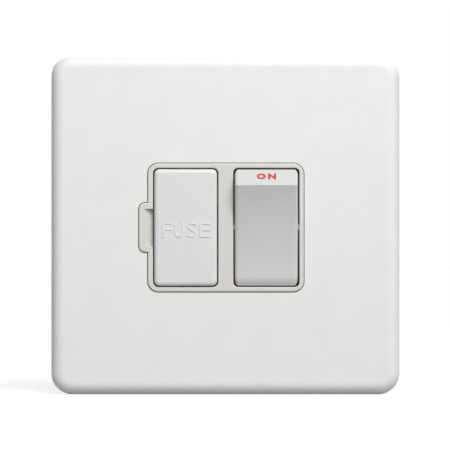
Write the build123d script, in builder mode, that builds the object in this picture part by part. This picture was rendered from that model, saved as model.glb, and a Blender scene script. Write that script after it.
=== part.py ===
from build123d import *
from math import cos, radians, sin, sqrt, tan
import os

# Switched fused connection unit with a screwless cover, for one wall box.
# X runs right, Z runs up and the front faces -Y. The wall is the plane y = 0.
# Every level below is a height out from the wall: positive in the room, negative in the box.

# Cover plate
plate_width = 88.4
plate_height = 86.0
plate_front = 6.4
plate_wall = 1.0
plate_corner = 5.3
plate_rim = 3.0
skirt_lift = 0.3
prise_drop = 29.9
prise_width = 3.4
prise_depth = 1.5

# Backing frame and its fixing holes
frame_fit = 0.15
frame_web = 2.0
frame_rim_height = 3.5
frame_rim_wall = 1.8
collar_wall = 1.5
rib_wall = 1.2
rib_pitch = 16.0
fixing_centres = 60.3
fixing_radius = 2.1
fixing_pad_radius = 6.0
fixing_pad_height = 3.0
head_recess_radius = 3.9
head_recess_depth = 1.0

# Module: the moulded frame that shows in the plate
module_shift = 0.1
module_drop = 0.7
module_proud = 0.4
boss_width = 39.5
boss_strip = 1.2
boss_corner = 2.7
boss_gap = 0.2
boss_edge = 0.35
well_edge = 0.3
tab_reach = 2.25
tab_height = 12.5
tab_corner = 1.6
shoulder_reach = 1.5
shoulder_gap = 0.2
shoulder_fit = 0.3
body_width = 46.0
body_height = 52.0
body_corner = 2.5
body_fit = 0.2
body_seat = 1.0
body_plate = 2.0
scoop_width = 9.5
scoop_reach = 2.3
scoop_depth = 1.8

# Rocker, in its ON position with the lower end pressed in
rocker_x = 10.27
rocker_well_width = 16.7
rocker_well_height = 30.1
rocker_well_corner = 1.2
rocker_side_gap = 0.35
rocker_end_gap = 0.3
rocker_wall = 1.5
rocker_throw = 18.0
rocker_draft = 3.0
pivot_out = 5.0
trunnion_radius = 0.9
trunnion_fit = 0.05
trunnion_grip = 0.6
trunnion_end_gap = 0.1
foot_proud = -0.6
lip_proud = 0.2
lip_inset = 1.3
ridge_proud = 4.1
ridge_z = 10.8
brow_proud = 0.1
dish_depth = 1.4
crown_depth = 2.0
heel_depth = 4.6
rocker_edge = 0.9
rocker_corner = 1.5
ridge_round = 0.4
lip_round = 3.0

# Plungers and their springs
pole_offset = 4.0
plunger_radius = 1.2
plunger_reach = 11.5
plunger_fit = 0.15
sleeve_radius = 2.2
sleeve_reach = 4.5
sleeve_bore_depth = 6.0
plunger_hold = 3.0
spring_wire = 0.3
spring_turns = 4.0
spring_wire_sides = 4

# See-saw contacts and straps
plunger_gap = 0.3
saw_tilt = 14.0
saw_overhang = 0.4
saw_width = 4.4
contact_metal = 0.8
knife_gap = 0.2
knife_width = 1.6
tip_radius = 1.4
tip_height = 0.6
tip_gap = 0.1
strap_width = 4.6
live_arm = 3.8
strap_inner_z = 2.0
fixed_strap_z = 5.5

# Terminals
block_width = 7.0
block_length = 7.6
block_depth = 6.6
block_fit = 0.3
block_end_inset = 0.8
wire_radius = 2.1
wire_cover = 0.5
clamp_radius = 1.5
clamp_fit = 0.05
clamp_head_radius = 2.3
clamp_head_height = 1.6
clamp_sink = 0.3
clamp_slot_width = 0.7
clamp_slot_depth = 0.7

# Module base
base_wall = 1.2
strap_fit = 0.2

# Assembly screws
screw_radius = 1.2
screw_fit = 0.05
screw_head_radius = 2.0
screw_head_height = 1.4
screw_z = 22.8
screw_seat = -8.0
screw_bite = 1.6
screw_well_fit = 0.1
screw_slot_width = 0.5
screw_slot_depth = 0.6

# Earth leaf
leaf_width = 3.8
leaf_fit = 0.25
leaf_toe = 3.6
leaf_gap = 0.1
earth_bar = 2.0

# Cartridge fuse and its carrier
fuse_x = -10.15
fuse_end_gap = 0.55
fuse_radius = 3.175
fuse_cap_length = 5.6
fuse_cap_wall = 0.3
barrel_fit = 0.05
fuse_edge = 0.3
fuse_well_width = 16.5
fuse_well_height = 30.1
fuse_well_corner = 1.4
carrier_gap = 0.3
carrier_proud = 0.8
carrier_cap = 3.0
carrier_corner = 1.3
carrier_round = 1.0
carrier_travel = 16.0
cradle_cap_gap = 1.1
cradle_wall = 1.4
cradle_fit = 0.1
cradle_lip = 0.15
cradle_wrap = 1.35
leg_width = 3.0
leg_wall = 1.2
leg_inset = 0.3
leg_fit = 0.4
hook_reach = 0.7
hook_length = 1.3
hook_gap = 0.3
stop_web = 2.4
pry_depth = 0.7
pry_height = 1.0
clip_end_inset = 0.7
clip_length = 5.0
clip_gap = 0.3
clip_metal = 0.6
clip_rise = 2.0

# Levels worked out from the sizes above
plate_back = plate_front - plate_wall
module_face = plate_front + module_proud
shoulder_top = plate_back - shoulder_gap
boss_height = max(fuse_well_height, rocker_well_height) + 2 * boss_strip
body_front = body_seat
body_back = body_front - body_plate
half_throw = rocker_throw / 2
end_radius = rocker_well_height / 2 - rocker_end_gap
rocker_width = rocker_well_width - 2 * rocker_side_gap
saw_front = pivot_out - plunger_reach - plunger_gap
saw_back = saw_front - contact_metal
knife_top = saw_back - knife_gap
strap_front = saw_back - 2 * tip_height - tip_gap
strap_back = strap_front - contact_metal
block_back = strap_back - block_depth
wire_out = strap_back - wire_cover - wire_radius
base_back = block_back - clamp_head_height - clamp_sink
stop_out = module_face - stop_web
hook_front = stop_out - hook_gap - carrier_travel
leg_end = hook_front - hook_length
leg_floor = leg_end - leg_fit
middle_back = leg_floor - base_wall
fuse_out = strap_front + clip_gap + fuse_radius
carrier_front = module_face + carrier_proud
carrier_back = carrier_front - carrier_cap
carrier_width = fuse_well_width - 2 * carrier_gap
carrier_height = fuse_well_height - 2 * carrier_gap
leg_outer = carrier_height / 2 - leg_inset
fuse_length = 2 * (leg_outer - leg_wall - fuse_end_gap)
cradle_length = fuse_length - 2 * (fuse_cap_length + cradle_cap_gap)
clip_start = fuse_length / 2 - clip_end_inset - clip_length
tip_z = clip_start + tip_radius
saw_arm = tip_z + tip_radius + saw_overhang
live_x = rocker_x - pole_offset
neutral_x = rocker_x + pole_offset
column_x = neutral_x
block_outer = body_height / 2 - block_end_inset
block_inner = block_outer - block_length
screw_x = column_x / 2
clip_inner = fuse_radius + clip_gap
clip_outer = clip_inner + clip_metal
jaw_height = fuse_out + clip_rise - strap_back
leaf_inner = boss_height / 2 + shoulder_reach + leaf_fit


def wall_plane(level):
    """Plane along the wall at a level, centred on the cover plate."""
    return Plane.XZ.offset(level)


def module_plane(level):
    """Plane along the wall at a level, centred on the module."""
    return Plane((module_shift, -level, -module_drop), x_dir=(1, 0, 0), z_dir=(0, -1, 0))


def side_plane(x):
    """Upright plane seen from the side: its first axis runs out of the wall, its second runs up."""
    return Plane((module_shift + x, 0, -module_drop), x_dir=(0, -1, 0), z_dir=(-1, 0, 0))


def top_plane(z):
    """Level plane in the module: its first axis runs right, its second runs into the wall."""
    return Plane((module_shift, 0, z - module_drop), x_dir=(1, 0, 0), z_dir=(0, 0, 1))


def plunger_plane(x, reach):
    """Plane across a plunger, a distance past the rocker's pivot, facing into the box."""
    lean = radians(half_throw)
    origin = (
        module_shift + x,
        -pivot_out + reach * cos(lean),
        -module_drop + reach * sin(lean),
    )
    return Plane(origin, x_dir=(1, 0, 0), z_dir=(0, cos(lean), sin(lean)))


def boss_outline(grow):
    """Outline of the module's frame with its prise tab, grown all round."""
    RectangleRounded(boss_width + 2 * grow, boss_height + 2 * grow, boss_corner + grow)
    with Locations((-boss_width / 2, 0)):
        RectangleRounded(2 * (tab_reach + grow), tab_height + 2 * grow, tab_corner + grow)


def save(piece, name):
    """Label a finished piece and write it to its own file."""
    piece.part.label = name
    export_step(piece.part, f"parts/{name}.step")


os.makedirs("parts", exist_ok=True)

# Cover plate: a pressed tray with the module's opening and a prise notch in each side of the skirt
with BuildPart() as cover_plate:
    with BuildSketch(wall_plane(skirt_lift)):
        RectangleRounded(plate_width, plate_height, plate_corner)
    extrude(amount=plate_front - skirt_lift)
    fillet(cover_plate.faces().sort_by(Axis.Y)[0].edges(), plate_rim)
    offset(amount=-plate_wall, openings=cover_plate.faces().sort_by(Axis.Y)[-1])
    with BuildSketch(module_plane(plate_front)):
        boss_outline(boss_gap)
    extrude(amount=-2 * plate_wall, mode=Mode.SUBTRACT)
    with BuildSketch(wall_plane(skirt_lift)):
        with Locations((0, -prise_drop)):
            Rectangle(plate_width + plate_wall, prise_width)
    extrude(amount=prise_depth, mode=Mode.SUBTRACT)
save(cover_plate, "cover_plate")

# Backing frame: a ribbed tray under the cover, with a collar round the module and two fixing pads
frame_width = plate_width - 2 * (plate_wall + frame_fit)
frame_height = plate_height - 2 * (plate_wall + frame_fit)
frame_corner = plate_corner - plate_wall - frame_fit
with BuildPart() as backing_frame:
    with BuildSketch(wall_plane(0)):
        RectangleRounded(frame_width, frame_height, frame_corner)
    extrude(amount=frame_web)
    with BuildSketch(wall_plane(0)):
        RectangleRounded(frame_width, frame_height, frame_corner)
        RectangleRounded(
            frame_width - 2 * frame_rim_wall,
            frame_height - 2 * frame_rim_wall,
            frame_corner - frame_rim_wall,
            mode=Mode.SUBTRACT,
        )
    extrude(amount=frame_rim_height)
    with BuildSketch(module_plane(0)):
        boss_outline(shoulder_reach + shoulder_fit + collar_wall)
    extrude(amount=frame_rim_height)
    with BuildSketch(wall_plane(0)):
        with GridLocations(rib_pitch, 0, 3, 1):
            Rectangle(rib_wall, frame_height)
        with GridLocations(0, 2 * rib_pitch, 1, 2):
            Rectangle(frame_width, rib_wall)
    extrude(amount=frame_rim_height)
    with BuildSketch(wall_plane(0)):
        with GridLocations(fixing_centres, 0, 2, 1):
            Circle(fixing_pad_radius)
    extrude(amount=fixing_pad_height)
    with BuildSketch(module_plane(0)):
        boss_outline(shoulder_reach + shoulder_fit)
        with Locations((0, leaf_inner + contact_metal / 2)):
            Rectangle(leaf_width + 2 * leaf_fit, contact_metal + 2 * leaf_fit)
    extrude(amount=frame_rim_height, mode=Mode.SUBTRACT)
    with BuildSketch(module_plane(0)):
        RectangleRounded(body_width + 2 * body_fit, body_height + 2 * body_fit, body_corner + body_fit)
    extrude(amount=body_seat, mode=Mode.SUBTRACT)
    with BuildSketch(module_plane(body_front)):
        with GridLocations(2 * screw_x, 2 * screw_z, 2, 2):
            Circle(screw_radius + screw_fit)
    extrude(amount=frame_rim_height, mode=Mode.SUBTRACT)
    with BuildSketch(wall_plane(0)):
        with GridLocations(fixing_centres, 0, 2, 1):
            Circle(fixing_radius)
    extrude(amount=fixing_pad_height, mode=Mode.SUBTRACT)
    with BuildSketch(wall_plane(fixing_pad_height - head_recess_depth)):
        with GridLocations(fixing_centres, 0, 2, 1):
            Circle(head_recess_radius)
    extrude(amount=frame_rim_height, mode=Mode.SUBTRACT)
save(backing_frame, "backing_frame")

# Module front: the moulded frame that shows, on the body plate that sits behind the backing frame
with BuildPart() as module_front:
    with BuildSketch(module_plane(body_back)):
        RectangleRounded(body_width, body_height, body_corner)
    extrude(amount=body_plate)
    with BuildSketch(module_plane(body_front)):
        boss_outline(shoulder_reach)
    extrude(amount=shoulder_top - body_front)
    with BuildSketch(module_plane(shoulder_top)):
        boss_outline(0)
    extrude(amount=module_face - shoulder_top)
    fillet(module_front.faces().sort_by(Axis.Y)[0].edges(), boss_edge)
    with BuildSketch(module_plane(body_back)):
        with Locations((fuse_x, 0)):
            RectangleRounded(fuse_well_width, fuse_well_height, fuse_well_corner)
        with Locations((rocker_x, 0)):
            RectangleRounded(rocker_well_width, rocker_well_height, rocker_well_corner)
    extrude(amount=module_face - body_back, mode=Mode.SUBTRACT)
    well_rims = module_front.faces().sort_by(Axis.Y)[0].inner_wires()
    fillet(well_rims.edges(), well_edge)
    with BuildSketch(module_plane(body_back)):
        with Locations((fuse_x, 0)):
            Rectangle(leg_width + 2 * leg_fit, 2 * (leg_outer + hook_reach + leg_fit))
        with Locations((0, leaf_inner + contact_metal / 2)):
            Rectangle(leaf_width + 2 * leaf_fit, contact_metal + 2 * leaf_fit)
    extrude(amount=stop_out - body_back, mode=Mode.SUBTRACT)
    with BuildSketch(side_plane(rocker_x)):
        with Locations((pivot_out, 0)):
            Circle(trunnion_radius + trunnion_fit)
    extrude(
        amount=rocker_well_width / 2 + trunnion_grip + trunnion_end_gap,
        both=True,
        mode=Mode.SUBTRACT,
    )
    with BuildSketch(top_plane(0)):
        with BuildLine():
            Polyline(
                (fuse_x - fuse_well_width / 2 - scoop_reach, -module_face),
                (fuse_x, -module_face),
                (fuse_x, scoop_depth - module_face),
                (fuse_x - fuse_well_width / 2, scoop_depth - module_face),
                close=True,
            )
        make_face()
    extrude(amount=scoop_width / 2, both=True, mode=Mode.SUBTRACT)
    with BuildSketch(module_plane(body_back)):
        with GridLocations(2 * screw_x, 2 * screw_z, 2, 2):
            Circle(screw_radius + screw_fit)
    extrude(amount=body_plate, mode=Mode.SUBTRACT)
save(module_front, "module_front")


def strap_sketch(name):
    """Flat outline of one of the stamped straps, seen from the front, centred on the module."""
    half = strap_width / 2
    outlines = {
        "supply_neutral_strap": [(neutral_x - half, -block_outer, neutral_x + half, strap_inner_z)],
        "load_neutral_strap": [(neutral_x - half, fixed_strap_z, neutral_x + half, block_outer)],
        "supply_live_strap": [
            (-half, -block_outer, half, -saw_arm - half),
            (-half, -saw_arm - half - live_arm, live_x + half, -saw_arm - half),
            (live_x - half, -saw_arm - half - live_arm, live_x + half, strap_inner_z),
        ],
        "fuse_feed_strap": [(fuse_x - clip_outer, clip_start, live_x + half, clip_start + clip_length)],
        "load_live_strap": [
            (-column_x - half, -clip_start - clip_length, fuse_x + clip_outer, -clip_start),
            (-column_x - half, -block_outer, -column_x + half, -clip_start),
        ],
        "earth_strap": [
            (-column_x - half, leaf_inner, half, leaf_inner + earth_bar),
            (-column_x - half, leaf_inner, -column_x + half, block_outer),
            (-half, leaf_inner, half, block_outer),
        ],
    }
    return outlines[name]


def strap_outline(name, grow):
    """Draw one strap's outline, grown all round."""
    for left, low, right, high in strap_sketch(name):
        with Locations(((left + right) / 2, (low + high) / 2)):
            Rectangle(right - left + 2 * grow, high - low + 2 * grow)


strap_names = [
    "supply_neutral_strap",
    "load_neutral_strap",
    "supply_live_strap",
    "fuse_feed_strap",
    "load_live_strap",
    "earth_strap",
]

# Columns of the six terminals, as left-to-right place and end of the base
terminals = {
    "supply_live_terminal": (0, -1),
    "supply_neutral_terminal": (column_x, -1),
    "load_live_terminal": (-column_x, -1),
    "load_neutral_terminal": (column_x, 1),
    "earth_terminal_left": (-column_x, 1),
    "earth_terminal_middle": (0, 1),
}

# Module base: a tower of terminal pockets at each end and two wells between them
tower_inner = block_inner - block_fit - base_wall
with BuildPart() as module_base:
    with BuildSketch(module_plane(middle_back)):
        RectangleRounded(body_width, body_height, body_corner)
    extrude(amount=body_back - middle_back)
    with BuildSketch(module_plane(base_back)):
        RectangleRounded(body_width, body_height, body_corner)
        Rectangle(body_width, 2 * tower_inner, mode=Mode.SUBTRACT)
    extrude(amount=middle_back - base_back)
    with BuildSketch(module_plane(strap_back)):
        with Locations((fuse_x, 0)):
            RectangleRounded(fuse_well_width, fuse_well_height, fuse_well_corner)
        with Locations((rocker_x, 0)):
            RectangleRounded(rocker_well_width, rocker_well_height, rocker_well_corner)
    extrude(amount=body_back - strap_back, mode=Mode.SUBTRACT)
    with BuildSketch(module_plane(leg_floor)):
        with Locations((fuse_x, 0)):
            Rectangle(leg_width + 2 * leg_fit, 2 * (leg_outer + hook_reach + leg_fit))
            Rectangle(leg_width + 2 * leg_fit, 2 * (leg_outer - leg_wall - leg_fit), mode=Mode.SUBTRACT)
    extrude(amount=body_back - leg_floor, mode=Mode.SUBTRACT)
    with BuildSketch(module_plane(strap_back)):
        for strap_name in strap_names:
            strap_outline(strap_name, strap_fit)
    extrude(amount=body_back - strap_back, mode=Mode.SUBTRACT)
    with BuildSketch(module_plane(base_back)):
        for column, end in terminals.values():
            with Locations((column, end * (block_inner - block_fit + body_height / 2) / 2)):
                Rectangle(block_width + 2 * block_fit, body_height / 2 - block_inner + block_fit)
    extrude(amount=strap_back - base_back, mode=Mode.SUBTRACT)
    with BuildSketch(module_plane(base_back)):
        with GridLocations(2 * screw_x, 2 * screw_z, 2, 2):
            Circle(screw_radius + screw_fit)
    extrude(amount=body_back - base_back, mode=Mode.SUBTRACT)
    with BuildSketch(module_plane(base_back)):
        with GridLocations(2 * screw_x, 2 * screw_z, 2, 2):
            Circle(screw_head_radius + screw_well_fit)
    extrude(amount=screw_seat - base_back, mode=Mode.SUBTRACT)
save(module_base, "module_base")

# Assembly screws: four alike, from the base through the module front into the backing frame
with BuildPart() as assembly_screws:
    with BuildSketch(module_plane(screw_seat)):
        with GridLocations(2 * screw_x, 2 * screw_z, 2, 2):
            Circle(screw_radius)
    extrude(amount=body_front + screw_bite - screw_seat)
    with BuildSketch(module_plane(screw_seat - screw_head_height)):
        with GridLocations(2 * screw_x, 2 * screw_z, 2, 2):
            Circle(screw_head_radius)
    extrude(amount=screw_head_height)
    with BuildSketch(module_plane(screw_seat - screw_head_height)):
        with GridLocations(2 * screw_x, 2 * screw_z, 2, 2):
            Rectangle(2 * screw_head_radius, screw_slot_width)
            Rectangle(screw_slot_width, 2 * screw_head_radius)
    extrude(amount=screw_slot_depth, mode=Mode.SUBTRACT)
save(assembly_screws, "assembly_screws")


def rocker_section(inset, crown_out, heel_out):
    """Side section of the rocker, shrunk by an inset for its hollow, closed along its back."""
    radius = end_radius - inset

    def on_end(out, side):
        return (out, side * sqrt(radius**2 - (out - pivot_out) ** 2))

    foot_out = module_face + foot_proud - inset
    brow_out = module_face + brow_proud - inset
    foot = on_end(foot_out, -1)
    brow = on_end(brow_out, 1)
    lip = (module_face + lip_proud - inset, foot[1] + lip_inset)
    ridge = (module_face + ridge_proud - 1.4 * inset, ridge_z - inset / 3)
    crown = on_end(crown_out, 1)
    heel = on_end(heel_out, -1)
    with BuildSketch(side_plane(rocker_x)) as section:
        with BuildLine():
            Line(foot, lip)
            SagittaArc(lip, ridge, dish_depth)
            Line(ridge, brow)
            ThreePointArc(brow, on_end((brow_out + crown_out) / 2, 1), crown)
            Line(crown, heel)
            ThreePointArc(heel, on_end((heel_out + foot_out) / 2, -1), foot)
        make_face()
    return section.sketch


# Rocker: a hollow moulding with a dished face, a slanted flag facet, trunnions and plunger sleeves
crown_out = pivot_out - crown_depth
heel_out = pivot_out - heel_depth
with BuildPart() as rocker:
    extrude(rocker_section(0, crown_out, heel_out), amount=rocker_width / 2, both=True)
    fillet(rocker.edges().filter_by(Axis.X).sort_by(Axis.Y)[0], ridge_round)
    fillet(rocker.edges().filter_by(Axis.X).sort_by(Axis.Z)[2], lip_round)
    for side_face in rocker.faces().filter_by(Axis.X):
        fillet(side_face.edges().sort_by(Axis.Y)[0:3], rocker_edge)
    flare = 2 * (module_face - heel_out) * tan(radians(rocker_draft))
    with BuildSketch(module_plane(heel_out)):
        with Locations((rocker_x, 0)):
            RectangleRounded(rocker_width + flare, 2 * end_radius + flare, rocker_corner)
    extrude(amount=rocker_well_height, taper=rocker_draft, mode=Mode.INTERSECT)
    hollow = rocker_section(rocker_wall, crown_out - heel_depth, heel_out - heel_depth / 2)
    extrude(hollow, amount=rocker_width / 2 - rocker_wall, both=True, mode=Mode.SUBTRACT)
    for pole_x in (live_x, neutral_x):
        with BuildSketch(plunger_plane(pole_x, sleeve_reach)):
            Circle(sleeve_radius)
        extrude(amount=-sleeve_reach - module_face + pivot_out)
        with BuildSketch(plunger_plane(pole_x, sleeve_reach)):
            Circle(plunger_radius + plunger_fit)
        extrude(amount=-sleeve_bore_depth, mode=Mode.SUBTRACT)
    for side in (-1, 1):
        with BuildSketch(side_plane(rocker_x + side * (rocker_width / 2 - rocker_wall))):
            with Locations((pivot_out, 0)):
                Circle(trunnion_radius)
        extrude(amount=-side * (rocker_wall + rocker_side_gap + trunnion_grip))
save(rocker, "rocker")


def make_plunger(x):
    """Plunger: a pin with a round nose that rides on a see-saw contact."""
    with BuildPart() as plunger:
        with BuildSketch(plunger_plane(x, sleeve_reach - plunger_hold)):
            Circle(plunger_radius)
        extrude(amount=plunger_reach - plunger_radius - sleeve_reach + plunger_hold)
        with Locations(plunger_plane(x, plunger_reach - plunger_radius)):
            Sphere(plunger_radius)
    return plunger


def make_spring(x):
    """Coil spring between the blind end of a sleeve and its plunger."""
    room = sleeve_bore_depth - plunger_hold
    coil_radius = plunger_radius - spring_wire
    pitch = (room - 3 * spring_wire) / spring_turns
    start = plunger_plane(x, sleeve_reach - sleeve_bore_depth + 1.5 * spring_wire)
    with BuildPart() as spring:
        with BuildLine():
            coil = Helix(pitch, pitch * spring_turns, coil_radius, start.origin, start.z_dir)
        with BuildSketch(Plane(coil @ 0, z_dir=coil % 0)):
            RegularPolygon(spring_wire, spring_wire_sides)
        sweep(path=coil)
    return spring


def make_see_saw(x):
    """See-saw contact in its ON position: a strip with a shallow V where the plunger runs."""
    tilt = radians(saw_tilt)
    along = (sin(tilt), -cos(tilt))
    lower = (saw_front + saw_arm * along[0], saw_arm * along[1])
    with BuildPart() as see_saw:
        with BuildSketch(side_plane(x)):
            with BuildLine():
                Polyline(
                    (saw_front, 0),
                    (saw_front, saw_arm),
                    (saw_back, saw_arm),
                    (saw_back, -contact_metal * tan(tilt / 2)),
                    (lower[0] - contact_metal * cos(tilt), lower[1] - contact_metal * sin(tilt)),
                    lower,
                    close=True,
                )
            make_face()
        extrude(amount=saw_width / 2, both=True)
    return see_saw


def make_tip(x, level):
    """Silver contact tip, a disc that stands on a strip at a level."""
    with BuildPart() as tip:
        with BuildSketch(module_plane(level)):
            with Locations((x, tip_z)):
                Circle(tip_radius)
        extrude(amount=tip_height)
    return tip


# The two poles: plunger, spring, see-saw contact and its tips
for pole_name, pole_x in (("live", live_x), ("neutral", neutral_x)):
    save(make_plunger(pole_x), f"{pole_name}_plunger")
    save(make_spring(pole_x), f"{pole_name}_plunger_spring")
    save(make_see_saw(pole_x), f"{pole_name}_see_saw")
    save(make_tip(pole_x, saw_back - tip_height), f"{pole_name}_moving_tip")
    save(make_tip(pole_x, strap_front), f"{pole_name}_fixed_tip")


def knife_section(x):
    """Knife edge pressed up from a supply strap, for its see-saw to rock on, seen from the side."""
    with BuildSketch(side_plane(x)) as section:
        with BuildLine():
            Polyline(
                (strap_front, -knife_width / 2),
                (knife_top, 0),
                (strap_front, knife_width / 2),
                close=True,
            )
        make_face()
    return section.sketch


def jaw_section(low):
    """Two leaves of a fuse clip from a height up, seen from the front."""
    with BuildSketch(module_plane(strap_back)) as section:
        with Locations((fuse_x, low + clip_length / 2)):
            Rectangle(2 * clip_outer, clip_length)
            Rectangle(2 * clip_inner, clip_length, mode=Mode.SUBTRACT)
    return section.sketch


def leaf_section():
    """Spring leaf of the earth strap, seen from the side: past the module, then over the frame."""
    leaf_top = plate_back - leaf_gap
    with BuildSketch(side_plane(0)) as section:
        with BuildLine():
            Polyline(
                (strap_back, leaf_inner),
                (leaf_top, leaf_inner),
                (leaf_top, leaf_inner + leaf_toe),
                (leaf_top - contact_metal, leaf_inner + leaf_toe),
                (leaf_top - contact_metal, leaf_inner + contact_metal),
                (strap_back, leaf_inner + contact_metal),
                close=True,
            )
        make_face()
    return section.sketch


# Stamped straps
for strap_name in strap_names:
    with BuildPart() as strap:
        with BuildSketch(module_plane(strap_back)):
            strap_outline(strap_name, 0)
        extrude(amount=contact_metal)
        if strap_name == "supply_live_strap":
            extrude(knife_section(live_x), amount=saw_width / 2, both=True)
        if strap_name == "supply_neutral_strap":
            extrude(knife_section(neutral_x), amount=saw_width / 2, both=True)
        if strap_name == "fuse_feed_strap":
            extrude(jaw_section(clip_start), amount=jaw_height)
        if strap_name == "load_live_strap":
            extrude(jaw_section(-clip_start - clip_length), amount=jaw_height)
        if strap_name == "earth_strap":
            extrude(leaf_section(), amount=leaf_width / 2, both=True)
    save(strap, strap_name)

# Terminal blocks: a wire bore from the end of the base and a threaded hole from behind
for terminal_name, (column, end) in terminals.items():
    middle_z = end * (block_inner + block_outer) / 2
    with BuildPart() as terminal:
        with BuildSketch(module_plane(block_back)):
            with Locations((column, middle_z)):
                Rectangle(block_width, block_length)
        extrude(amount=block_depth)
        with BuildSketch(top_plane(middle_z)):
            with Locations((column, -wire_out)):
                Circle(wire_radius)
        extrude(amount=block_length / 2, both=True, mode=Mode.SUBTRACT)
        with BuildSketch(module_plane(block_back)):
            with Locations((column, middle_z)):
                Circle(clamp_radius + clamp_fit)
        extrude(amount=wire_out - block_back, mode=Mode.SUBTRACT)
    save(terminal, terminal_name)

# Terminal screws: six alike, backed out clear of the wire bores
with BuildPart() as terminal_screws:
    places = []
    for column, end in terminals.values():
        places.append((column, end * (block_inner + block_outer) / 2))
    with BuildSketch(module_plane(block_back)):
        with Locations(places):
            Circle(clamp_radius)
    extrude(amount=wire_out - wire_radius - block_back)
    with BuildSketch(module_plane(block_back - clamp_head_height)):
        with Locations(places):
            Circle(clamp_head_radius)
    extrude(amount=clamp_head_height)
    with BuildSketch(module_plane(block_back - clamp_head_height)):
        with Locations(places):
            Rectangle(2 * clamp_head_radius, clamp_slot_width)
    extrude(amount=clamp_slot_depth, mode=Mode.SUBTRACT)
save(terminal_screws, "terminal_screws")

# Fuse: a ceramic barrel with a metal cap pressed on each end
barrel_radius = fuse_radius - fuse_cap_wall
fuse_half = fuse_length / 2
with BuildPart() as fuse_barrel:
    with BuildSketch(top_plane(0)):
        with Locations((fuse_x, -fuse_out)):
            Circle(barrel_radius - barrel_fit)
    extrude(amount=fuse_half - fuse_cap_wall, both=True)
save(fuse_barrel, "fuse_barrel")

with BuildPart() as fuse_end_caps:
    with BuildSketch(top_plane(0)):
        with Locations((fuse_x, -fuse_out)):
            Circle(fuse_radius)
    extrude(amount=fuse_half, both=True)
    end_faces = fuse_end_caps.faces().filter_by(GeomType.PLANE)
    chamfer(end_faces.edges(), fuse_edge)
    with BuildSketch(top_plane(0)):
        with Locations((fuse_x, -fuse_out)):
            Circle(barrel_radius)
    extrude(amount=fuse_half - fuse_cap_wall, both=True, mode=Mode.SUBTRACT)
    with BuildSketch(top_plane(0)):
        with Locations((fuse_x, -fuse_out)):
            Circle(2 * fuse_radius)
    extrude(amount=fuse_half - fuse_cap_length, both=True, mode=Mode.SUBTRACT)
save(fuse_end_caps, "fuse_end_caps")

# Fuse carrier: a capped drawer with a cradle for the barrel and two hooked legs that keep it captive
cradle_inner = barrel_radius + cradle_fit
cradle_outer = cradle_inner + cradle_wall
with BuildPart() as fuse_carrier:
    with BuildSketch(module_plane(carrier_back)):
        with Locations((fuse_x, 0)):
            RectangleRounded(carrier_width, carrier_height, carrier_corner)
    extrude(amount=carrier_cap)
    fillet(fuse_carrier.faces().sort_by(Axis.Y)[0].edges(), carrier_round)
    with BuildSketch(module_plane(fuse_out - cradle_wrap)):
        with Locations((fuse_x, 0)):
            Rectangle(2 * cradle_outer, cradle_length)
    extrude(amount=carrier_back - fuse_out + cradle_wrap)
    with BuildSketch(top_plane(0)):
        with Locations((fuse_x, -fuse_out)):
            Circle(cradle_inner)
        with Locations((fuse_x, cradle_inner / 2 - fuse_out)):
            Rectangle(2 * (barrel_radius - cradle_lip), cradle_inner)
    extrude(amount=cradle_length / 2, both=True, mode=Mode.SUBTRACT)
    with BuildSketch(module_plane(leg_end)):
        with Locations((fuse_x, 0)):
            Rectangle(leg_width, 2 * leg_outer)
            Rectangle(leg_width, 2 * (leg_outer - leg_wall), mode=Mode.SUBTRACT)
    extrude(amount=carrier_back - leg_end)
    with BuildSketch(module_plane(leg_end)):
        with Locations((fuse_x, 0)):
            Rectangle(leg_width, 2 * (leg_outer + hook_reach))
            Rectangle(leg_width, 2 * (leg_outer - leg_wall), mode=Mode.SUBTRACT)
    extrude(amount=hook_length)
    with BuildSketch(module_plane(carrier_back)):
        with Locations((fuse_x - carrier_width / 2, 0)):
            Rectangle(2 * pry_depth, scoop_width)
    extrude(amount=pry_height, mode=Mode.SUBTRACT)
save(fuse_carrier, "fuse_carrier")
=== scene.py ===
"""Looks of a screwless fused spur unit: finishes, lettering, screw heads and a small studio."""

import math

import bmesh
import bpy
from mathutils import Matrix, Vector


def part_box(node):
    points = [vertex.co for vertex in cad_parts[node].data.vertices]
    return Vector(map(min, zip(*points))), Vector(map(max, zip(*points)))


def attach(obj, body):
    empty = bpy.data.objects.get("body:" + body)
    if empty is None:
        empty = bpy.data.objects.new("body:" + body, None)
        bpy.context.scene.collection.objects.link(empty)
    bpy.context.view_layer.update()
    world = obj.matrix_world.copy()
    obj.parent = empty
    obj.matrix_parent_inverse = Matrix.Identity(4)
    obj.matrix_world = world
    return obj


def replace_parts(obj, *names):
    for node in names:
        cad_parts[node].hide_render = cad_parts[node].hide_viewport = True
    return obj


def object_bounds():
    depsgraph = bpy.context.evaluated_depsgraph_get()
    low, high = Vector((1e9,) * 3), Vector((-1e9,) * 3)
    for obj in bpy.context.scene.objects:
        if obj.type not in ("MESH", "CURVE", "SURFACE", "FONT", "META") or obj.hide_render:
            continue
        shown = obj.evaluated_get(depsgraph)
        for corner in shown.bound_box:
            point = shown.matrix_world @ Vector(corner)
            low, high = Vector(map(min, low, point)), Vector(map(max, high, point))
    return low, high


bl_info = {
    "name": "Fused spur unit",
    "version": (1, 0, 0),
    "blender": (4, 5, 0),
    "location": "View3D > Sidebar > Fused spur",
    "description": "Finishes, lettering, screw heads and studio for a switched fused spur unit",
    "category": "Object",
}

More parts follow.
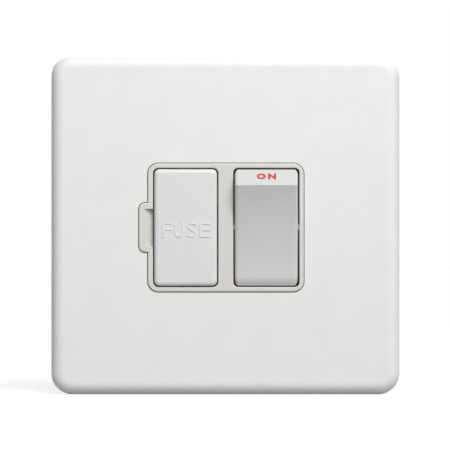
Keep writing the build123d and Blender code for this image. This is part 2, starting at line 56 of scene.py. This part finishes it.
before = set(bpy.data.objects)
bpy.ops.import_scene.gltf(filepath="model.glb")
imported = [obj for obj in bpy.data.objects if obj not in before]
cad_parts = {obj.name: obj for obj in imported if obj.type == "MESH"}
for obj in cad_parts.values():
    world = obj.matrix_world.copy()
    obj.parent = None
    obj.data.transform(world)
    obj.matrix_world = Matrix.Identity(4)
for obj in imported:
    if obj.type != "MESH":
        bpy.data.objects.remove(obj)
cad_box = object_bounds()
MM = 0.001
WHITE = (1, 1, 1, 1)

# Where each letter starts and ends along its word, from 0 to 1
FUSE_LETTERS = {"F": (0.0, 0.205), "U": (0.26, 0.45), "S": (0.52, 0.72), "E": (0.785, 1.0)}
ON_LETTERS = {"O": (0.0, 0.47), "N": (0.58, 1.0)}

# How finely round shapes are divided
LETTER_STEPS = 6
LETTER_EDGE_STEPS = 2
SCREW_SIDES = 40
SCREW_ROUNDING_STEPS = 4
FLOOR_CELLS = 8


def colour_setting(name, description, default):
    """A colour that a user may change."""
    return bpy.props.FloatVectorProperty(
        name=name, description=description, subtype="COLOR", min=0, max=1, default=default
    )


def length_setting(name, description, default):
    """A length that a user may change, in metres."""
    return bpy.props.FloatProperty(
        name=name, description=description, unit="LENGTH", precision=5, default=default
    )


def level_setting(name, description, default):
    """A plain number that a user may change."""
    return bpy.props.FloatProperty(name=name, description=description, min=0, default=default)


def angle_setting(name, description, degrees):
    """An angle that a user may change."""
    return bpy.props.FloatProperty(
        name=name, description=description, subtype="ANGLE", default=math.radians(degrees)
    )


def direction_setting(name, description, default):
    """A direction that a user may change."""
    return bpy.props.FloatVectorProperty(
        name=name, description=description, subtype="DIRECTION", default=default
    )


def place_setting(name, description, default):
    """A place that a user may change, in metres."""
    return bpy.props.FloatVectorProperty(
        name=name, description=description, subtype="TRANSLATION", unit="LENGTH", default=default
    )


class SpurFinishes(bpy.types.PropertyGroup):
    """Colours of the unit's finishes."""

    coat_white: colour_setting("Cover coat", "Powder coat of the steel cover", (0.84, 0.84, 0.83))
    frame_grey: colour_setting("Backing frame", "Plastic of the backing frame", (0.62, 0.62, 0.60))
    module_cream: colour_setting("Module", "Plastic of the frame round the wells", (0.69, 0.675, 0.64))
    base_white: colour_setting("Base", "Plastic of the module base", (0.72, 0.71, 0.68))
    carrier_white: colour_setting("Fuse carrier", "Plastic of the fuse carrier", (0.75, 0.75, 0.75))
    rocker_white: colour_setting("Rocker", "Plastic of the rocker", (0.62, 0.62, 0.62))
    plunger_natural: colour_setting("Plungers", "Plastic of the plungers", (0.66, 0.63, 0.55))
    brass_yellow: colour_setting("Brass", "Straps, see-saws and terminals", (0.74, 0.53, 0.24))
    silver_white: colour_setting("Silver", "Contact tips", (0.82, 0.81, 0.78))
    spring_grey: colour_setting("Spring wire", "Springs in the rocker", (0.50, 0.50, 0.51))
    zinc_grey: colour_setting("Zinc plate", "Screws and fuse caps", (0.62, 0.62, 0.63))
    ceramic_buff: colour_setting("Ceramic", "Barrel of the fuse", (0.76, 0.72, 0.64))
    flag_red: colour_setting("Flag ink", "Word printed on the rocker", (0.50, 0.03, 0.035))


class SpurLettering(bpy.types.PropertyGroup):
    """Sizes of the raised word on the fuse carrier and the printed word on the rocker."""

    carrier_width: length_setting("Carrier word width", "Width of the raised word", 12.2 * MM)
    carrier_height: length_setting("Carrier word height", "Height of the raised word", 3.8 * MM)
    carrier_relief: length_setting("Carrier word relief", "How far the word stands up", 0.14 * MM)
    carrier_sink: length_setting("Carrier word root", "How far the word goes into the carrier", 0.04 * MM)
    carrier_edge: level_setting("Carrier word edge", "Round on the letters' edges, to their size", 0.03)
    carrier_drop: length_setting("Carrier word drop", "Below the middle of the carrier", 0.6 * MM)
    carrier_shift: length_setting("Carrier word shift", "Right of the middle of the carrier", 0.08 * MM)
    flag_width: length_setting("Flag word width", "Width of the printed word", 4.9 * MM)
    flag_height: length_setting("Flag word height", "Height of the printed word, up the slope", 2.15 * MM)
    flag_film: length_setting("Flag ink film", "Thickness of the ink", 0.02 * MM)
    flag_weight: level_setting("Flag word weight", "Width added to the strokes, to the letters' size", 0.07)
    flag_rise: length_setting("Flag word rise", "Above the middle of the slope", 0.14 * MM)


class SpurRocker(bpy.types.PropertyGroup):
    """Room for the rocker's lower end to swing past the corners of its well."""

    foot_reach: length_setting("Foot reach", "Height over which the lower end narrows", 3.0 * MM)
    foot_ease: length_setting("Foot ease", "How much each side is drawn in at the lower end", 0.14 * MM)


class SpurScrews(bpy.types.PropertyGroup):
    """Sizes of the terminal screws."""

    shank_radius: length_setting("Shank radius", "Radius of the shank", 1.5 * MM)
    tip_chamfer: length_setting("Tip chamfer", "Chamfer at the end of the shank", 0.3 * MM)
    head_chamfer: length_setting("Head chamfer", "Chamfer under the head", 0.1 * MM)
    head_rounding: length_setting("Head rounding", "Round on the top edge of the head", 0.45 * MM)
    slot_width: length_setting("Slot width", "Width of the driver slot", 0.7 * MM)
    slot_depth: length_setting("Slot depth", "Depth of the driver slot", 0.7 * MM)
    slot_turn: angle_setting("Slot turn", "From the slot of one screw to that of the next", 52)


class SpurStage(bpy.types.PropertyGroup):
    """Camera, lamps and floor."""

    view_distance: length_setting("Camera distance", "From the camera to the cover's face", 0.9)
    view_width: length_setting("View width", "Width seen at the cover's face", 113.9 * MM)
    view_right: length_setting("Camera right", "Camera to the right of the origin", -0.09 * MM)
    view_up: length_setting("Camera up", "Camera above the origin", -0.06 * MM)
    key_from: direction_setting("Key from", "Where the key lamp is", (0.33, -0.67, 0.66))
    key_softness: angle_setting("Key softness", "How wide the key lamp looks from the unit", 40)
    key_level: level_setting("Key level", "Light on a face turned to the key lamp", 0.58)
    back_from: direction_setting("Back from", "Where the back lamp is", (-0.02, 0.93, 0.36))
    back_softness: angle_setting("Back softness", "How wide the back lamp looks from the unit", 75)
    back_level: level_setting("Back level", "Light on a face turned to the back lamp", 0.75)
    top_place: place_setting("Top lamp", "Place of the near top lamp", (0.05, -0.25, 0.25))
    top_size: length_setting("Top lamp size", "Side of the near top lamp", 0.2)
    top_level: level_setting("Top level", "Light on a face turned to the near top lamp", 0.45)
    ambient_level: level_setting("Ambient level", "Light from all round", 0.095)
    floor_reach: length_setting("Floor reach", "From the middle of the floor to its edge", 3.0)
    floor_gap: length_setting("Floor gap", "Between the unit and the floor", 0.05 * MM)
    floor_grey: colour_setting("Floor", "Colour of the floor", (0.42, 0.42, 0.42))
    floor_lift: level_setting("Floor lift", "White added to the floor where it is looked at", 0.68)


def shade(colour, factor):
    """A colour made lighter or darker, with full alpha, as sockets take it."""
    return (*(channel * factor for channel in colour), 1.0)


class Sum:
    """A shader socket that takes part in sums: each sign adds one Math node."""

    def __init__(self, finish, socket):
        self.finish = finish
        self.socket = socket

    def _join(self, operation, first, second):
        return self.finish.node("ShaderNodeMath", {"operation": operation}, {0: first, 1: second})

    def __add__(self, other):
        return self._join("ADD", self, other)

    def __radd__(self, other):
        return self._join("ADD", other, self)

    def __mul__(self, other):
        return self._join("MULTIPLY", self, other)

    def __rmul__(self, other):
        return self._join("MULTIPLY", other, self)

    def __gt__(self, other):
        return self._join("GREATER_THAN", self, other)


class Finish:
    """A node tree being built up to its output."""

    def __init__(self, tree):
        self.tree = tree
        tree.nodes.clear()

    def node(self, kind, settings=None, sockets=None, out=0):
        """Add a node: its settings first, then the values or links of its sockets."""
        node = self.tree.nodes.new(kind)
        for name, value in (settings or {}).items():
            setattr(node, name, value)
        for key, value in (sockets or {}).items():
            if isinstance(value, Sum):
                self.tree.links.new(value.socket, node.inputs[key])
            else:
                node.inputs[key].default_value = value
        return Sum(self, node.outputs[out]) if node.outputs else None

    def place(self, stretch=(1, 1, 1)):
        """A point on the piece in metres, squeezed along its axes."""
        point = self.node("ShaderNodeTexCoord", out="Object")
        return self.node(
            "ShaderNodeVectorMath", {"operation": "MULTIPLY"}, {0: point, 1: stretch}
        )

    def noise(self, size, detail=2.0, stretch=(1, 1, 1)):
        """Soft noise from 0 to 1 whose patches have about this size."""
        sockets = {"Vector": self.place(stretch), "Scale": 1 / size, "Detail": detail}
        return self.node("ShaderNodeTexNoise", None, sockets)

    def cells(self, size):
        """Distance to the middle of the nearest of many small cells, from 0 to about 1."""
        return self.node("ShaderNodeTexVoronoi", None, {"Vector": self.place(), "Scale": 1 / size})

    def spread(self, value, low, high):
        """Stretch the middle of a noise, so that low gives 0 and high gives 1."""
        sockets = {"Value": value, "From Min": low, "From Max": high}
        return self.node("ShaderNodeMapRange", None, sockets)

    def blend(self, factor, first, second):
        """One colour where the factor is 0, the other where it is 1."""
        return self.node("ShaderNodeMix", {"data_type": "RGBA"}, {0: factor, 6: first, 7: second}, out=2)

    def bump(self, height, depth):
        """Normal of a surface whose relief goes from 0 to this depth."""
        return self.node("ShaderNodeBump", None, {"Height": height, "Distance": depth, "Strength": 1.0})

    def mix(self, factor, first, second):
        """One shader where the factor is 0, the other where it is 1."""
        return self.node("ShaderNodeMixShader", None, {0: factor, 1: first, 2: second})

    def output(self, kind, shader):
        """Close the tree with its output node."""
        self.node(kind, None, {"Surface": shader})


def finished(name, finish_maker):
    """A material of that name, made once."""
    material = bpy.data.materials.get(name)
    if material is None:
        material = bpy.data.materials.new(name)
        material.use_nodes = True
        finish = Finish(material.node_tree)
        shader = finish.node("ShaderNodeBsdfPrincipled", None, finish_maker(finish))
        finish.output("ShaderNodeOutputMaterial", shader)
    return material


def powder_coat(colour):
    """Satin powder coat: orange peel, faint clouds of tone and of gloss."""

    def make(finish):
        clouds = finish.spread(finish.noise(7 * MM, 3), 0.3, 0.7)
        peel = finish.noise(0.8 * MM, 2)
        flow = finish.noise(2.6 * MM, 2)
        return {
            "Base Color": finish.blend(clouds, shade(colour, 0.975), shade(colour, 1.0)),
            "Roughness": 0.40 + 0.10 * peel,
            "Normal": finish.bump(peel + 0.8 * flow, 0.012 * MM),
            "Specular IOR Level": 0.3,
        }

    return finished("powder_coat", make)


def moulded(name, colour, roughness, grain, depth):
    """Moulded plastic: fine eroded grain, slow sink waves, faint flow streaks and gloss patches."""

    def make(finish):
        streaks = finish.spread(finish.noise(5 * MM, 3, (1, 1, 0.25)), 0.3, 0.7)
        patches = finish.noise(3 * MM, 2)
        fine = finish.noise(grain, 2)
        sink = finish.noise(9 * MM, 1)
        return {
            "Base Color": finish.blend(streaks, shade(colour, 0.98), shade(colour, 1.0)),
            "Roughness": roughness - 0.04 + 0.08 * patches + 0.05 * fine,
            "Normal": finish.bump(fine + 2.0 * sink, depth),
            "Specular IOR Level": 0.45,
        }

    return finished(name, make)


def rolled_brass(colour):
    """Brass strip and bar: rolling lines, darker clouds where it has been handled."""

    def make(finish):
        lines = finish.noise(0.25 * MM, 2, (1, 1, 0.04))
        tarnish = finish.spread(finish.noise(2.4 * MM, 4), 0.42, 0.72)
        dull = (*(channel * tint for channel, tint in zip(colour, (0.78, 0.70, 0.62))), 1.0)
        return {
            "Base Color": finish.blend(tarnish, shade(colour, 1.0), dull),
            "Metallic": 1.0,
            "Roughness": 0.24 + 0.12 * lines + 0.16 * tarnish,
            "Normal": finish.bump(lines, 0.006 * MM),
        }

    return finished("rolled_brass", make)


def contact_silver(colour):
    """Silver contact metal: fine pits and a soft grey bloom."""

    def make(finish):
        bloom = finish.spread(finish.noise(0.7 * MM, 3), 0.4, 0.7)
        pits = finish.cells(0.16 * MM)
        return {
            "Base Color": finish.blend(bloom, shade(colour, 1.0), shade(colour, 0.72)),
            "Metallic": 1.0,
            "Roughness": 0.22 + 0.2 * bloom,
            "Normal": finish.bump(pits, 0.008 * MM),
        }

    return finished("contact_silver", make)


def spring_wire(colour):
    """Drawn spring wire: streaks along the draw and a blue-grey heat tint."""

    def make(finish):
        streaks = finish.noise(0.12 * MM, 2, (1, 0.15, 1))
        tint = finish.spread(finish.noise(0.9 * MM, 2), 0.35, 0.65)
        blue = (colour[0] * 0.82, colour[1] * 0.88, colour[2], 1.0)
        return {
            "Base Color": finish.blend(tint, shade(colour, 1.0), blue),
            "Metallic": 1.0,
            "Roughness": 0.26 + 0.16 * streaks,
            "Normal": finish.bump(streaks, 0.004 * MM),
        }

    return finished("spring_wire", make)


def zinc_plate(colour):
    """Bright zinc plate: small crystals, cloudy gloss and a faint straw tint."""

    def make(finish):
        crystals = finish.cells(0.5 * MM)
        clouds = finish.spread(finish.noise(1.6 * MM, 3), 0.35, 0.7)
        straw = (colour[0] * 1.02, colour[1] * 0.98, colour[2] * 0.88, 1.0)
        return {
            "Base Color": finish.blend(clouds, shade(colour, 1.0), straw),
            "Metallic": 1.0,
            "Roughness": 0.22 + 0.1 * crystals + 0.14 * clouds,
            "Normal": finish.bump(crystals, 0.005 * MM),
        }

    return finished("zinc_plate", make)


def bare_ceramic(colour):
    """Unglazed ceramic: fine grain with scattered dark specks."""

    def make(finish):
        grain = finish.noise(0.22 * MM, 3)
        specks = finish.spread(finish.noise(0.5 * MM, 4), 0.66, 0.74)
        return {
            "Base Color": finish.blend(specks, shade(colour, 1.0), shade(colour, 0.62)),
            "Roughness": 0.55 + 0.2 * grain,
            "Normal": finish.bump(grain, 0.02 * MM),
        }

    return finished("bare_ceramic", make)


def flag_ink(colour):
    """Pad-printed ink: slightly uneven cover and a matt film."""

    def make(finish):
        cover = finish.spread(finish.noise(0.35 * MM, 3), 0.35, 0.65)
        thin = (colour[0] * 1.12, colour[1] * 1.9, colour[2] * 1.9, 1.0)
        return {
            "Base Color": finish.blend(cover, thin, shade(colour, 1.0)),
            "Roughness": 0.45 + 0.1 * cover,
            "Normal": finish.bump(cover, 0.004 * MM),
        }

    return finished("flag_ink", make)


def dress(material, *nodes):
    """Give CAD nodes their finish."""
    for name in nodes:
        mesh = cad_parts[name].data
        mesh.materials.clear()
        mesh.materials.append(material)


def add_piece(name, mesh, material, body):
    """Show a finished mesh as a piece that rides on a body."""
    mesh.materials.clear()
    mesh.materials.append(material)
    piece = bpy.data.objects.new(name, mesh)
    bpy.context.scene.collection.objects.link(piece)
    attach(piece, body)
    return piece


def letter_mesh(letter, weight, rounding):
    """One letter, filling the unit square of the XY plane and standing up along Z from 0 to 1."""
    curve = bpy.data.curves.new("letter", "FONT")
    curve.body = letter
    curve.resolution_u = LETTER_STEPS
    curve.extrude = 0.1
    curve.offset = weight - rounding
    curve.bevel_depth = rounding
    curve.bevel_resolution = LETTER_EDGE_STEPS
    holder = bpy.data.objects.new("letter", curve)
    bpy.context.scene.collection.objects.link(holder)
    mesh = bpy.data.meshes.new_from_object(holder.evaluated_get(bpy.context.evaluated_depsgraph_get()))
    bpy.data.objects.remove(holder)
    bpy.data.curves.remove(curve)
    if not mesh.vertices:
        raise RuntimeError(f"the letter {letter} has no outline")
    low = Vector(map(min, zip(*(vertex.co for vertex in mesh.vertices))))
    high = Vector(map(max, zip(*(vertex.co for vertex in mesh.vertices))))
    size = high - low
    mesh.transform(Matrix.Diagonal((1 / size.x, 1 / size.y, 1 / size.z, 1)) @ Matrix.Translation(-low))
    return mesh


def word_mesh(name, letters, size, weight, rounding):
    """Letters round the origin of the XY plane, each with its start and end along the word from 0 to 1."""
    joined = bmesh.new()
    for letter, (start, end) in letters.items():
        mesh = letter_mesh(letter, weight, rounding)
        fit = Matrix.Diagonal((size.x * (end - start), size.y, size.z, 1))
        mesh.transform(Matrix.Translation((size.x * (start - 0.5), -size.y / 2, 0)) @ fit)
        joined.from_mesh(mesh)
        bpy.data.meshes.remove(mesh)
    word = bpy.data.meshes.new(name)
    joined.to_mesh(word)
    joined.free()
    return word


def lean_matrix(point, outward):
    """Placing of a word: its Z along outward, its X along +X, at a point."""
    right = Vector((1, 0, 0))
    up = outward.cross(right)
    return Matrix.Translation(point) @ Matrix((right, up, outward)).transposed().to_4x4()


def turned_mesh(name, profile, sides):
    """A closed mesh turned round Z from (radius, height) points that start and end on the axis."""
    shape = bmesh.new()
    first = shape.verts.new((0, 0, profile[0][1]))
    last = shape.verts.new((0, 0, profile[-1][1]))
    rings = []
    for radius, height in profile[1:-1]:
        turns = [2 * math.pi * step / sides for step in range(sides)]
        rings.append([shape.verts.new((radius * math.cos(t), radius * math.sin(t), height)) for t in turns])
    for step in range(sides):
        after = (step + 1) % sides
        shape.faces.new((first, rings[0][after], rings[0][step]))
        shape.faces.new((last, rings[-1][step], rings[-1][after]))
        for inner, outer in zip(rings, rings[1:]):
            shape.faces.new((inner[step], inner[after], outer[after], outer[step]))
    bmesh.ops.recalc_face_normals(shape, faces=shape.faces)
    mesh = bpy.data.meshes.new(name)
    shape.to_mesh(mesh)
    shape.free()
    return mesh


def slotted(mesh, width, depth, top):
    """The mesh with a driver slot across its top."""
    cutter_shape = bmesh.new()
    bmesh.ops.create_cube(cutter_shape, size=1.0)
    across = 4 * max(vertex.co.x for vertex in mesh.vertices)
    bmesh.ops.scale(cutter_shape, vec=(across, width, 2 * depth), verts=cutter_shape.verts)
    bmesh.ops.translate(cutter_shape, vec=top, verts=cutter_shape.verts)
    cutter_mesh = bpy.data.meshes.new("slot_cutter")
    cutter_shape.to_mesh(cutter_mesh)
    cutter_shape.free()
    cutter = bpy.data.objects.new("slot_cutter", cutter_mesh)
    blank = bpy.data.objects.new("slot_blank", mesh)
    for helper in (cutter, blank):
        bpy.context.scene.collection.objects.link(helper)
    cut = blank.modifiers.new("slot", "BOOLEAN")
    cut.object = cutter
    cut.operation = "DIFFERENCE"
    cut.solver = "EXACT"
    result = bpy.data.meshes.new_from_object(blank.evaluated_get(bpy.context.evaluated_depsgraph_get()))
    if len(result.vertices) <= len(mesh.vertices):
        raise RuntimeError("the driver slot was not cut")
    for helper in (cutter, blank):
        bpy.data.meshes.remove(helper.data)
    return result


def slope_of(node):
    """Middle and outward direction of the flat flag slope at the top of the rocker."""
    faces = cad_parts[node].data.polygons
    upward = [face for face in faces if face.normal.z > 0.5 and face.normal.y < -0.5]
    if not upward:
        raise RuntimeError("the rocker has no flag slope")
    outward = max(upward, key=lambda face: face.area).normal.copy()
    flat = [face for face in upward if face.normal.dot(outward) > 0.9999]
    middle = sum((face.area * face.center for face in flat), Vector()) / sum(face.area for face in flat)
    return middle, outward


def narrowed_foot(node, reach, ease):
    """A copy of a node's mesh whose sides draw in towards its lower end."""
    low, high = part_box(node)
    middle = (low.x + high.x) / 2
    half = (high.x - low.x) / 2
    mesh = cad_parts[node].data.copy()
    for vertex in mesh.vertices:
        share = max(0, 1 - (vertex.co.z - low.z) / reach)
        vertex.co.x -= ease * share * (vertex.co.x - middle) / half
    return mesh


class SPUR_OT_cover(bpy.types.Operator):
    """Coat the steel cover"""

    bl_idname = "spur.cover"
    bl_label = "Cover"

    def execute(self, context):
        finishes = context.scene.spur_finishes
        dress(powder_coat(finishes.coat_white), "cover_plate")
        return {"FINISHED"}


class SPUR_OT_mouldings(bpy.types.Operator):
    """Finish the backing frame, the module front and the module base"""

    bl_idname = "spur.mouldings"
    bl_label = "Mouldings"

    def execute(self, context):
        finishes = context.scene.spur_finishes
        front = moulded(
            "module_plastic", finishes.module_cream, roughness=0.40, grain=0.18 * MM, depth=0.006 * MM
        )
        back = moulded(
            "frame_plastic", finishes.frame_grey, roughness=0.52, grain=0.25 * MM, depth=0.012 * MM
        )
        base = moulded(
            "base_plastic", finishes.base_white, roughness=0.50, grain=0.25 * MM, depth=0.012 * MM
        )
        dress(front, "module_front")
        dress(back, "backing_frame")
        dress(base, "module_base")
        return {"FINISHED"}


class SPUR_OT_rocker(bpy.types.Operator):
    """Finish the rocker and print the word on its flag slope"""

    bl_idname = "spur.rocker"
    bl_label = "Rocker"

    def execute(self, context):
        finishes = context.scene.spur_finishes
        lettering = context.scene.spur_lettering
        fit = context.scene.spur_rocker
        plastic = moulded(
            "rocker_plastic", finishes.rocker_white, roughness=0.34, grain=0.14 * MM, depth=0.004 * MM
        )
        dress(plastic, "rocker")
        shell = narrowed_foot("rocker", fit.foot_reach, fit.foot_ease)
        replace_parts(add_piece("rocker_shell", shell, plastic, "rocker_switch"), "rocker")
        plunger = moulded(
            "plunger_plastic", finishes.plunger_natural, roughness=0.38, grain=0.2 * MM, depth=0.008 * MM
        )
        dress(plunger, "live_plunger", "neutral_plunger")
        springs = spring_wire(finishes.spring_grey)
        dress(springs, "live_plunger_spring", "neutral_plunger_spring")
        middle, outward = slope_of("rocker")
        up = outward.cross(Vector((1, 0, 0)))
        size = Vector((lettering.flag_width, lettering.flag_height, 2 * lettering.flag_film))
        word = word_mesh("on_word", ON_LETTERS, size, weight=lettering.flag_weight, rounding=0)
        sunk = middle + lettering.flag_rise * up - lettering.flag_film * outward
        word.transform(lean_matrix(sunk, outward))
        add_piece("on_word", word, flag_ink(finishes.flag_red), "rocker_switch")
        return {"FINISHED"}


class SPUR_OT_fuse(bpy.types.Operator):
    """Finish the fuse carrier with its raised word, and the fuse in it"""

    bl_idname = "spur.fuse"
    bl_label = "Fuse carrier"

    def execute(self, context):
        finishes = context.scene.spur_finishes
        lettering = context.scene.spur_lettering
        plastic = moulded(
            "carrier_plastic", finishes.carrier_white, roughness=0.42, grain=0.16 * MM, depth=0.005 * MM
        )
        dress(plastic, "fuse_carrier")
        dress(bare_ceramic(finishes.ceramic_buff), "fuse_barrel")
        dress(zinc_plate(finishes.zinc_grey), "fuse_end_caps")
        low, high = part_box("fuse_carrier")
        thickness = lettering.carrier_relief + lettering.carrier_sink
        size = Vector((lettering.carrier_width, lettering.carrier_height, thickness))
        word = word_mesh("fuse_word", FUSE_LETTERS, size, weight=0, rounding=lettering.carrier_edge)
        place = (low + high) / 2
        place.x += lettering.carrier_shift
        place.y = low.y + lettering.carrier_sink
        place.z -= lettering.carrier_drop
        word.transform(lean_matrix(place, Vector((0, -1, 0))))
        add_piece("fuse_word", word, plastic, "fuse_drawer")
        return {"FINISHED"}


class SPUR_OT_contacts(bpy.types.Operator):
    """Finish the brass and silver of the contacts, straps and terminals"""

    bl_idname = "spur.contacts"
    bl_label = "Contacts and terminals"

    def execute(self, context):
        finishes = context.scene.spur_finishes
        brass = [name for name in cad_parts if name.endswith(("_strap", "_see_saw", "_terminal"))]
        brass += ["earth_terminal_left", "earth_terminal_middle"]
        dress(rolled_brass(finishes.brass_yellow), *brass)
        tips = [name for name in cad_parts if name.endswith("_tip")]
        dress(contact_silver(finishes.silver_white), *tips)
        return {"FINISHED"}


class SPUR_OT_screws(bpy.types.Operator):
    """Finish the screws, with rounded slotted heads on the terminal screws"""

    bl_idname = "spur.screws"
    bl_label = "Screws"

    def execute(self, context):
        screws = context.scene.spur_screws
        zinc = zinc_plate(context.scene.spur_finishes.zinc_grey)
        dress(zinc, "assembly_screws")
        low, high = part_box("terminal_screws")
        terminals = [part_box(name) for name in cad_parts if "_terminal" in name]
        middles = [(near + far) / 2 for near, far in terminals]
        seat = terminals[0][1].y
        head_radius = min(middle.x for middle in middles) - low.x
        one = self.make_screw(screws, seat - low.y, high.y - seat, head_radius)
        joined = bmesh.new()
        for number, middle in enumerate(middles):
            copy = one.copy()
            spin = Matrix.Rotation(number * screws.slot_turn, 4, "Z")
            copy.transform(lean_matrix(Vector((middle.x, seat, middle.z)), Vector((0, 1, 0))) @ spin)
            joined.from_mesh(copy)
            bpy.data.meshes.remove(copy)
        bpy.data.meshes.remove(one)
        mesh = bpy.data.meshes.new("terminal_screw_heads")
        joined.to_mesh(mesh)
        joined.free()
        piece = add_piece("terminal_screw_heads", mesh, zinc, "unit")
        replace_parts(piece, "terminal_screws")
        return {"FINISHED"}

    def make_screw(self, screws, shank, head, head_radius):
        """A slotted screw along Z, with the underside of its head at 0."""
        chamfer = screws.head_chamfer
        profile = [
            (0, -shank),
            (screws.shank_radius - screws.tip_chamfer, -shank),
            (screws.shank_radius, screws.tip_chamfer - shank),
            (screws.shank_radius, 0),
            (head_radius - chamfer, 0),
            (head_radius, chamfer),
        ]
        for step in range(SCREW_ROUNDING_STEPS + 1):
            turn = math.pi / 2 * step / SCREW_ROUNDING_STEPS
            rim = head_radius - screws.head_rounding * (1 - math.cos(turn))
            profile.append((rim, head - screws.head_rounding * (1 - math.sin(turn))))
        profile.append((0, head))
        blank = turned_mesh("terminal_screw", profile, SCREW_SIDES)
        return slotted(blank, screws.slot_width, screws.slot_depth, Vector((0, 0, head)))


def far_lamp(name, direction, softness, level):
    """A wide far lamp that gives a level of light on a white face turned to it."""
    light = bpy.data.lights.new(name, "SUN")
    light.angle = softness
    light.energy = level * math.pi
    source = bpy.data.objects.new(name, light)
    source.rotation_euler = direction.to_track_quat("Z", "Y").to_euler()
    bpy.context.scene.collection.objects.link(source)


def near_lamp(name, place, size, level):
    """A square soft lamp at a place, turned to the unit, that gives a level of light there."""
    light = bpy.data.lights.new(name, "AREA")
    light.size = size
    light.energy = level * math.pi**2 * place.length_squared
    source = bpy.data.objects.new(name, light)
    source.location = place
    source.rotation_euler = place.to_track_quat("Z", "Y").to_euler()
    bpy.context.scene.collection.objects.link(source)


class SPUR_OT_stage(bpy.types.Operator):
    """Set up the floor, the world, the lamps and the camera"""

    bl_idname = "spur.stage"
    bl_label = "Stage"

    def execute(self, context):
        stage = context.scene.spur_stage
        self.make_world(context.scene, stage)
        self.make_floor(stage)
        far_lamp("key_lamp", stage.key_from, stage.key_softness, stage.key_level)
        far_lamp("back_lamp", stage.back_from, stage.back_softness, stage.back_level)
        near_lamp("top_lamp", stage.top_place, stage.top_size, stage.top_level)
        self.make_camera(context.scene, stage)
        context.scene.view_settings.view_transform = "Standard"
        return {"FINISHED"}

    def make_camera(self, scene, stage):
        camera = bpy.data.cameras.new("front_view")
        camera.lens = camera.sensor_width * stage.view_distance / stage.view_width
        viewer = bpy.data.objects.new("front_view", camera)
        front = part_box("cover_plate")[0].y
        viewer.location = (stage.view_right, front - stage.view_distance, stage.view_up)
        viewer.rotation_euler = (math.pi / 2, 0, 0)
        scene.collection.objects.link(viewer)
        scene.camera = viewer

    def looked_at(self, finish):
        """1 for a ray of the camera, a mirror or a glass, 0 for the light that falls on the object."""
        rays = [
            finish.node("ShaderNodeLightPath", out=kind)
            for kind in ("Is Camera Ray", "Is Glossy Ray", "Is Transmission Ray")
        ]
        return sum(rays) > 0.5

    def make_world(self, scene, stage):
        world = bpy.data.worlds.new("studio")
        world.use_nodes = True
        scene.world = world
        finish = Finish(world.node_tree)
        ambient = finish.node("ShaderNodeBackground", None, {"Color": WHITE, "Strength": stage.ambient_level})
        backdrop = finish.node("ShaderNodeBackground", None, {"Color": WHITE, "Strength": 1})
        finish.output("ShaderNodeOutputWorld", finish.mix(self.looked_at(finish), ambient, backdrop))

    def make_floor(self, stage):
        shape = bmesh.new()
        bmesh.ops.create_grid(shape, x_segments=FLOOR_CELLS, y_segments=FLOOR_CELLS, size=stage.floor_reach)
        mesh = bpy.data.meshes.new("floor")
        shape.to_mesh(mesh)
        shape.free()
        floor = bpy.data.objects.new("floor", mesh)
        floor.location.z = cad_box[0].z - stage.floor_gap
        bpy.context.scene.collection.objects.link(floor)
        material = bpy.data.materials.new("floor_paper")
        material.use_nodes = True
        finish = Finish(material.node_tree)
        fibre = finish.noise(4 * MM, 3)
        paper = finish.blend(fibre, shade(stage.floor_grey, 0.97), shade(stage.floor_grey, 1.0))
        matt = finish.node("ShaderNodeBsdfDiffuse", None, {"Color": paper})
        glow = finish.node("ShaderNodeEmission", None, {"Color": WHITE, "Strength": stage.floor_lift})
        lifted = finish.node("ShaderNodeAddShader", None, {0: matt, 1: glow})
        finish.output("ShaderNodeOutputMaterial", finish.mix(self.looked_at(finish), matt, lifted))
        mesh.materials.append(material)


pieces = (
    SPUR_OT_cover,
    SPUR_OT_mouldings,
    SPUR_OT_rocker,
    SPUR_OT_fuse,
    SPUR_OT_contacts,
    SPUR_OT_screws,
    SPUR_OT_stage,
)


class SPUR_PT_sidebar(bpy.types.Panel):
    """Steps that dress the unit, in order"""

    bl_idname = "SPUR_PT_sidebar"
    bl_label = "Fused spur unit"
    bl_space_type = "VIEW_3D"
    bl_region_type = "UI"
    bl_category = "Fused spur"

    def draw(self, context):
        for piece in pieces:
            self.layout.operator(piece.bl_idname)


settings = {
    "spur_finishes": SpurFinishes,
    "spur_lettering": SpurLettering,
    "spur_rocker": SpurRocker,
    "spur_screws": SpurScrews,
    "spur_stage": SpurStage,
}


def register():
    for kind in (*settings.values(), *pieces, SPUR_PT_sidebar):
        bpy.utils.register_class(kind)
    for name, kind in settings.items():
        setattr(bpy.types.Scene, name, bpy.props.PointerProperty(type=kind))


def unregister():
    for name in settings:
        delattr(bpy.types.Scene, name)
    for kind in reversed((*settings.values(), *pieces, SPUR_PT_sidebar)):
        bpy.utils.unregister_class(kind)


def main():
    register()
    bpy.ops.spur.cover()
    bpy.ops.spur.mouldings()
    bpy.ops.spur.rocker()
    bpy.ops.spur.fuse()
    bpy.ops.spur.contacts()
    bpy.ops.spur.screws()
    bpy.ops.spur.stage()


if __name__ == "__main__":
    main()
